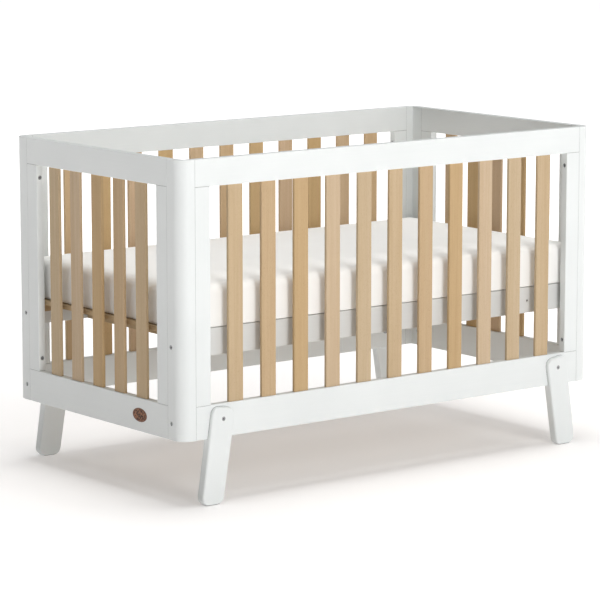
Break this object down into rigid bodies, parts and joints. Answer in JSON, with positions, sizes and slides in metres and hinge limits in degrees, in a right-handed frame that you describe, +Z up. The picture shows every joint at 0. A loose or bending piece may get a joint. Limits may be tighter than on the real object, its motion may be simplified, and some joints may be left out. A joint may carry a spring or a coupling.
{
  "type": "baby crib",
  "caption": "White wooden baby crib with natural beech slats on all sides, slanted board legs and a lift-out foam mattress on a slatted base.",
  "frame": {"origin": "on the floor at the centre of the crib's footprint", "axes": "+X along the length (to the right seen from the front), -Y the front, +Z up"},
  "size_m": [1.3726, 0.769, 0.868],
  "materials": {
    "white_paint": "smooth satin white paint on wood",
    "natural_beech": "clear matt lacquer on natural beech",
    "base_wood": "unfinished planed wood",
    "mattress_cover": "smooth matt knitted cover",
    "bolt_steel": "dark zinc-plated steel",
    "badge_bronze": "satin bronze"
  },
  "bodies": {
    "frame": {"back_bottom_rail": "white_paint", "back_left_stile": "white_paint", "back_right_stile": "white_paint", "back_slats": "natural_beech", "back_top_rail": "white_paint", "badge": "badge_bronze", "base_back_ledge": "base_wood", "base_back_rail": "white_paint", "base_barrel_nuts": "bolt_steel", "base_bolts": "bolt_steel", "base_cross_rail_left": "base_wood", "base_cross_rail_right": "base_wood", "base_front_ledge": "base_wood", "base_front_rail": "white_paint", "base_slat_screws": "bolt_steel", "base_slats": "base_wood", "corner_post_back_left": "white_paint", "corner_post_back_right": "white_paint", "corner_post_front_left": "white_paint", "corner_post_front_right": "white_paint", "cross_rail_screws": "bolt_steel", "end_panel_bolts": "bolt_steel", "front_bottom_rail": "white_paint", "front_left_stile": "white_paint", "front_right_stile": "white_paint", "front_slat_01": "natural_beech", "front_slat_02": "natural_beech", "front_slat_03": "natural_beech", "front_slat_04": "natural_beech", "front_slat_05": "natural_beech", "front_slat_06": "natural_beech", "front_slat_07": "natural_beech", "front_slat_08": "natural_beech", "front_slat_09": "natural_beech", "front_slat_10": "natural_beech", "front_slat_11": "natural_beech", "front_top_rail": "white_paint", "ledge_screws": "bolt_steel", "left_end_back_stile": "white_paint", "left_end_bottom_rail": "white_paint", "left_end_front_stile": "white_paint", "left_end_slats": "natural_beech", "left_end_top_rail": "white_paint", "leg_back_left": "white_paint", "leg_back_right": "white_paint", "leg_bolts": "bolt_steel", "leg_dowels": "natural_beech", "leg_front_left": "white_paint", "leg_front_right": "white_paint", "leg_sleeve_nuts": "bolt_steel", "panel_bolt_inserts": "bolt_steel", "panel_dowels": "natural_beech", "right_end_back_stile": "white_paint", "right_end_bottom_rail": "white_paint", "right_end_front_stile": "white_paint", "right_end_slats": "natural_beech", "right_end_top_rail": "white_paint", "side_panel_bolts": "bolt_steel"},
    "mattress": {"mattress": "mattress_cover"}
  },
  "joints": [
    {"name": "mattress_lift", "type": "slide", "parent": "frame", "child": "mattress", "axis": [0, 0, 1], "range_m": [0, 0.46]}
  ]
}
